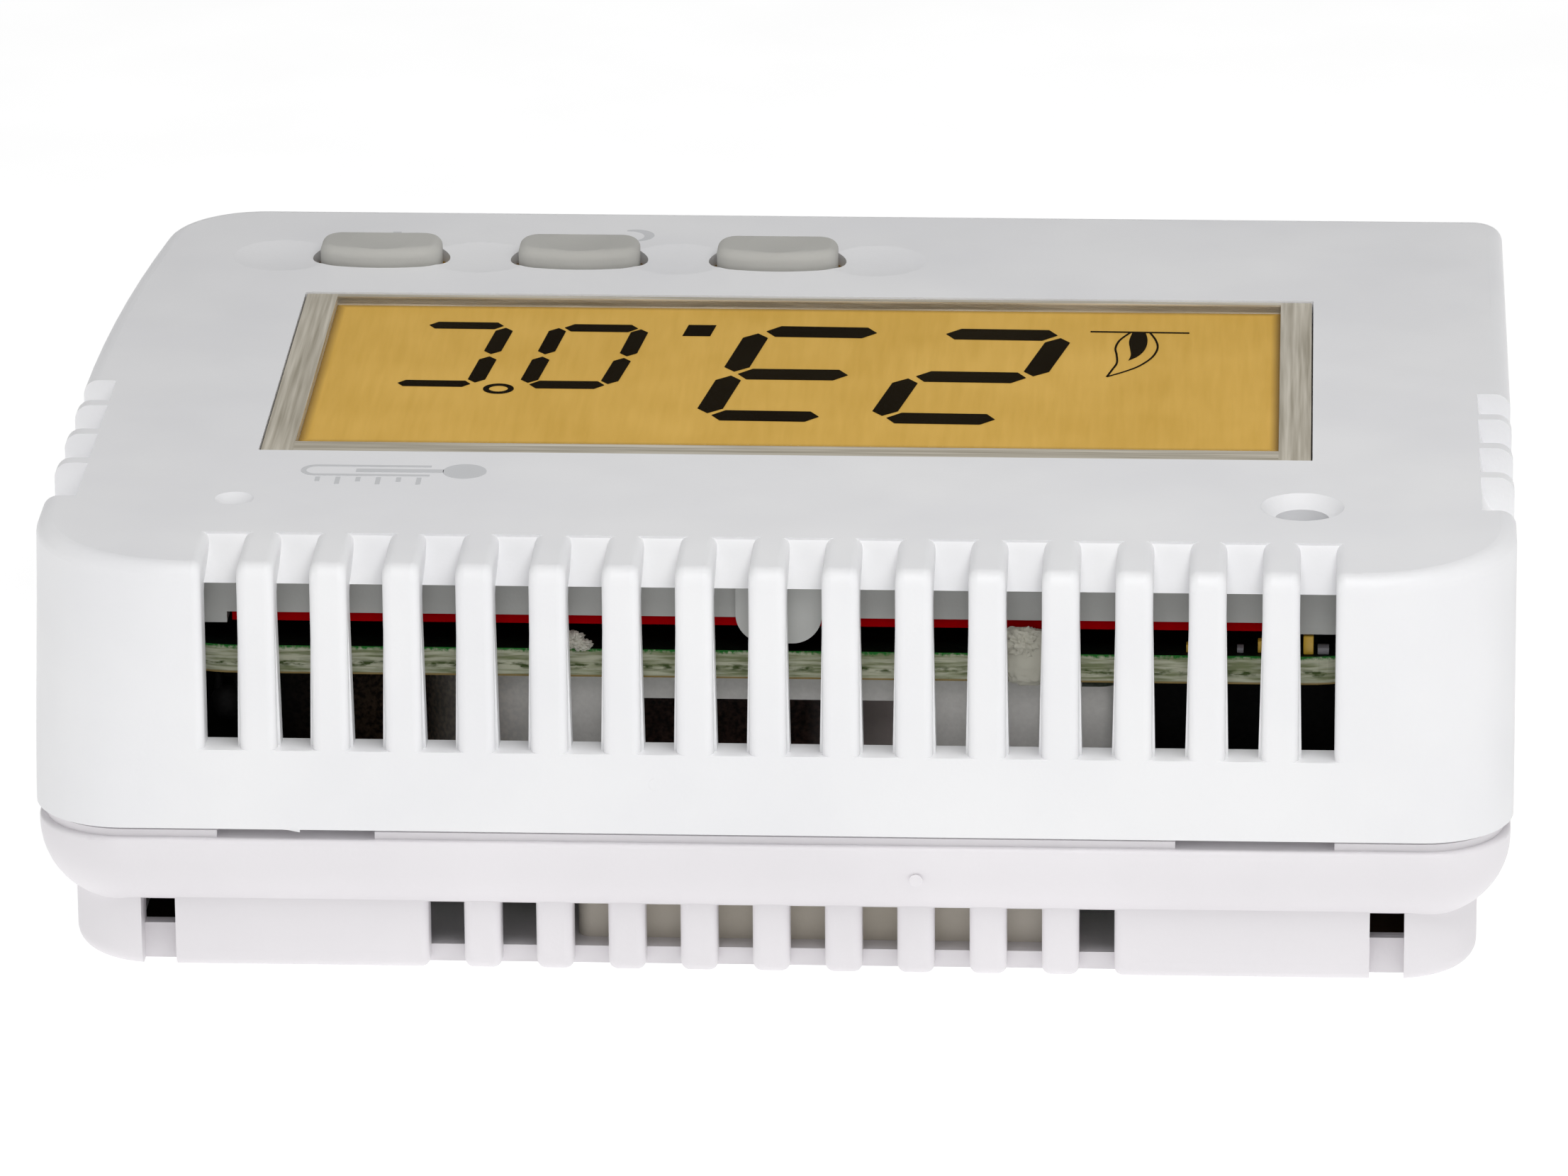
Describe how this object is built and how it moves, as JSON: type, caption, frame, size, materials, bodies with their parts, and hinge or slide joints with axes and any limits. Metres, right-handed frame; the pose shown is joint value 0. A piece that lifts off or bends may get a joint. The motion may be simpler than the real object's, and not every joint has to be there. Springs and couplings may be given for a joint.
{
  "type": "wall thermostat",
  "caption": "Digital room thermostat: a slotted wall base with screw terminals and a vented plug-on front with an amber display, push buttons and a locking screw.",
  "frame": {"origin": "centre of the rear face, which lies against the wall", "axes": "+Z out of the wall through the display, +Y up on the wall, +X to the right as one faces it"},
  "size_m": [0.09, 0.0706, 0.028],
  "materials": {
    "cover_plastic": "fine-textured white ABS",
    "base_plastic": "fine-textured warm white ABS",
    "clear_window": "polished clear acrylic",
    "display_cell": "amber backlit liquid crystal cell",
    "grey_plastic": "moulded grey plastic",
    "red_board": "solder-masked circuit board",
    "green_board": "solder-masked circuit board with a glass fibre edge",
    "elastomer": "layered conductive elastomer",
    "black_plastic": "moulded black component plastic",
    "can_aluminium": "drawn can",
    "contact_brass": "bright contact metal",
    "screw_steel": "zinc-plated steel",
    "adhesive": "cured white adhesive",
    "button_plastic": "soft light grey plastic",
    "plunger_plastic": "brown moulded plunger",
    "terminal_plastic": "flame-retardant grey plastic",
    "bezel_plastic": "translucent grey-beige frame under the window"
  },
  "bodies": {
    "base": {"base_housing": "base_plastic", "terminal_block": "terminal_plastic", "terminal_clamps": "contact_brass", "terminal_screws": "screw_steel", "contact_sockets": "contact_brass", "socket_carrier": "grey_plastic", "contact_tails": "contact_brass"},
    "front_module": {"front_cover": "cover_plastic", "display_window": "clear_window", "display_bezel": "bezel_plastic", "display_glass": "display_cell", "display_holder": "grey_plastic", "backlight_board": "red_board", "elastomer_strip": "elastomer", "light_spacers": "black_plastic", "main_board": "green_board", "board_screws": "screw_steel", "microcontroller": "black_plastic", "relay": "black_plastic", "capacitors": "can_aluminium", "transformer": "black_plastic", "temperature_sensor": "black_plastic", "contact_pins": "contact_brass", "connector_housing": "grey_plastic", "adhesive_blobs": "adhesive", "switch_bodies": "black_plastic"},
    "button_up_body": {"button_up": "button_plastic", "plunger_up": "plunger_plastic"},
    "button_down_body": {"button_down": "button_plastic", "plunger_down": "plunger_plastic"},
    "button_mode_body": {"button_mode": "button_plastic", "plunger_mode": "plunger_plastic"},
    "locking_screw_body": {"locking_screw": "screw_steel"}
  },
  "joints": [
    {"name": "front_lift_off", "type": "slide", "parent": "base", "child": "front_module", "axis": [0, 0, 1], "range_m": [0, 0.03]},
    {"name": "press_up", "type": "slide", "parent": "front_module", "child": "button_up_body", "axis": [0, 0, -1], "range_m": [0, 0.0005], "stiffness_N_per_m": 800, "springref_m": -0.0005},
    {"name": "press_down", "type": "slide", "parent": "front_module", "child": "button_down_body", "axis": [0, 0, -1], "range_m": [0, 0.0005], "stiffness_N_per_m": 800, "springref_m": -0.0005},
    {"name": "press_mode", "type": "slide", "parent": "front_module", "child": "button_mode_body", "axis": [0, 0, -1], "range_m": [0, 0.0005], "stiffness_N_per_m": 800, "springref_m": -0.0005},
    {"name": "locking_screw_turn", "type": "hinge", "parent": "front_module", "child": "locking_screw_body", "pos_m": [-0.032, 0.0225, 0.015], "axis": [0, 0, 1], "continuous": true}
  ]
}
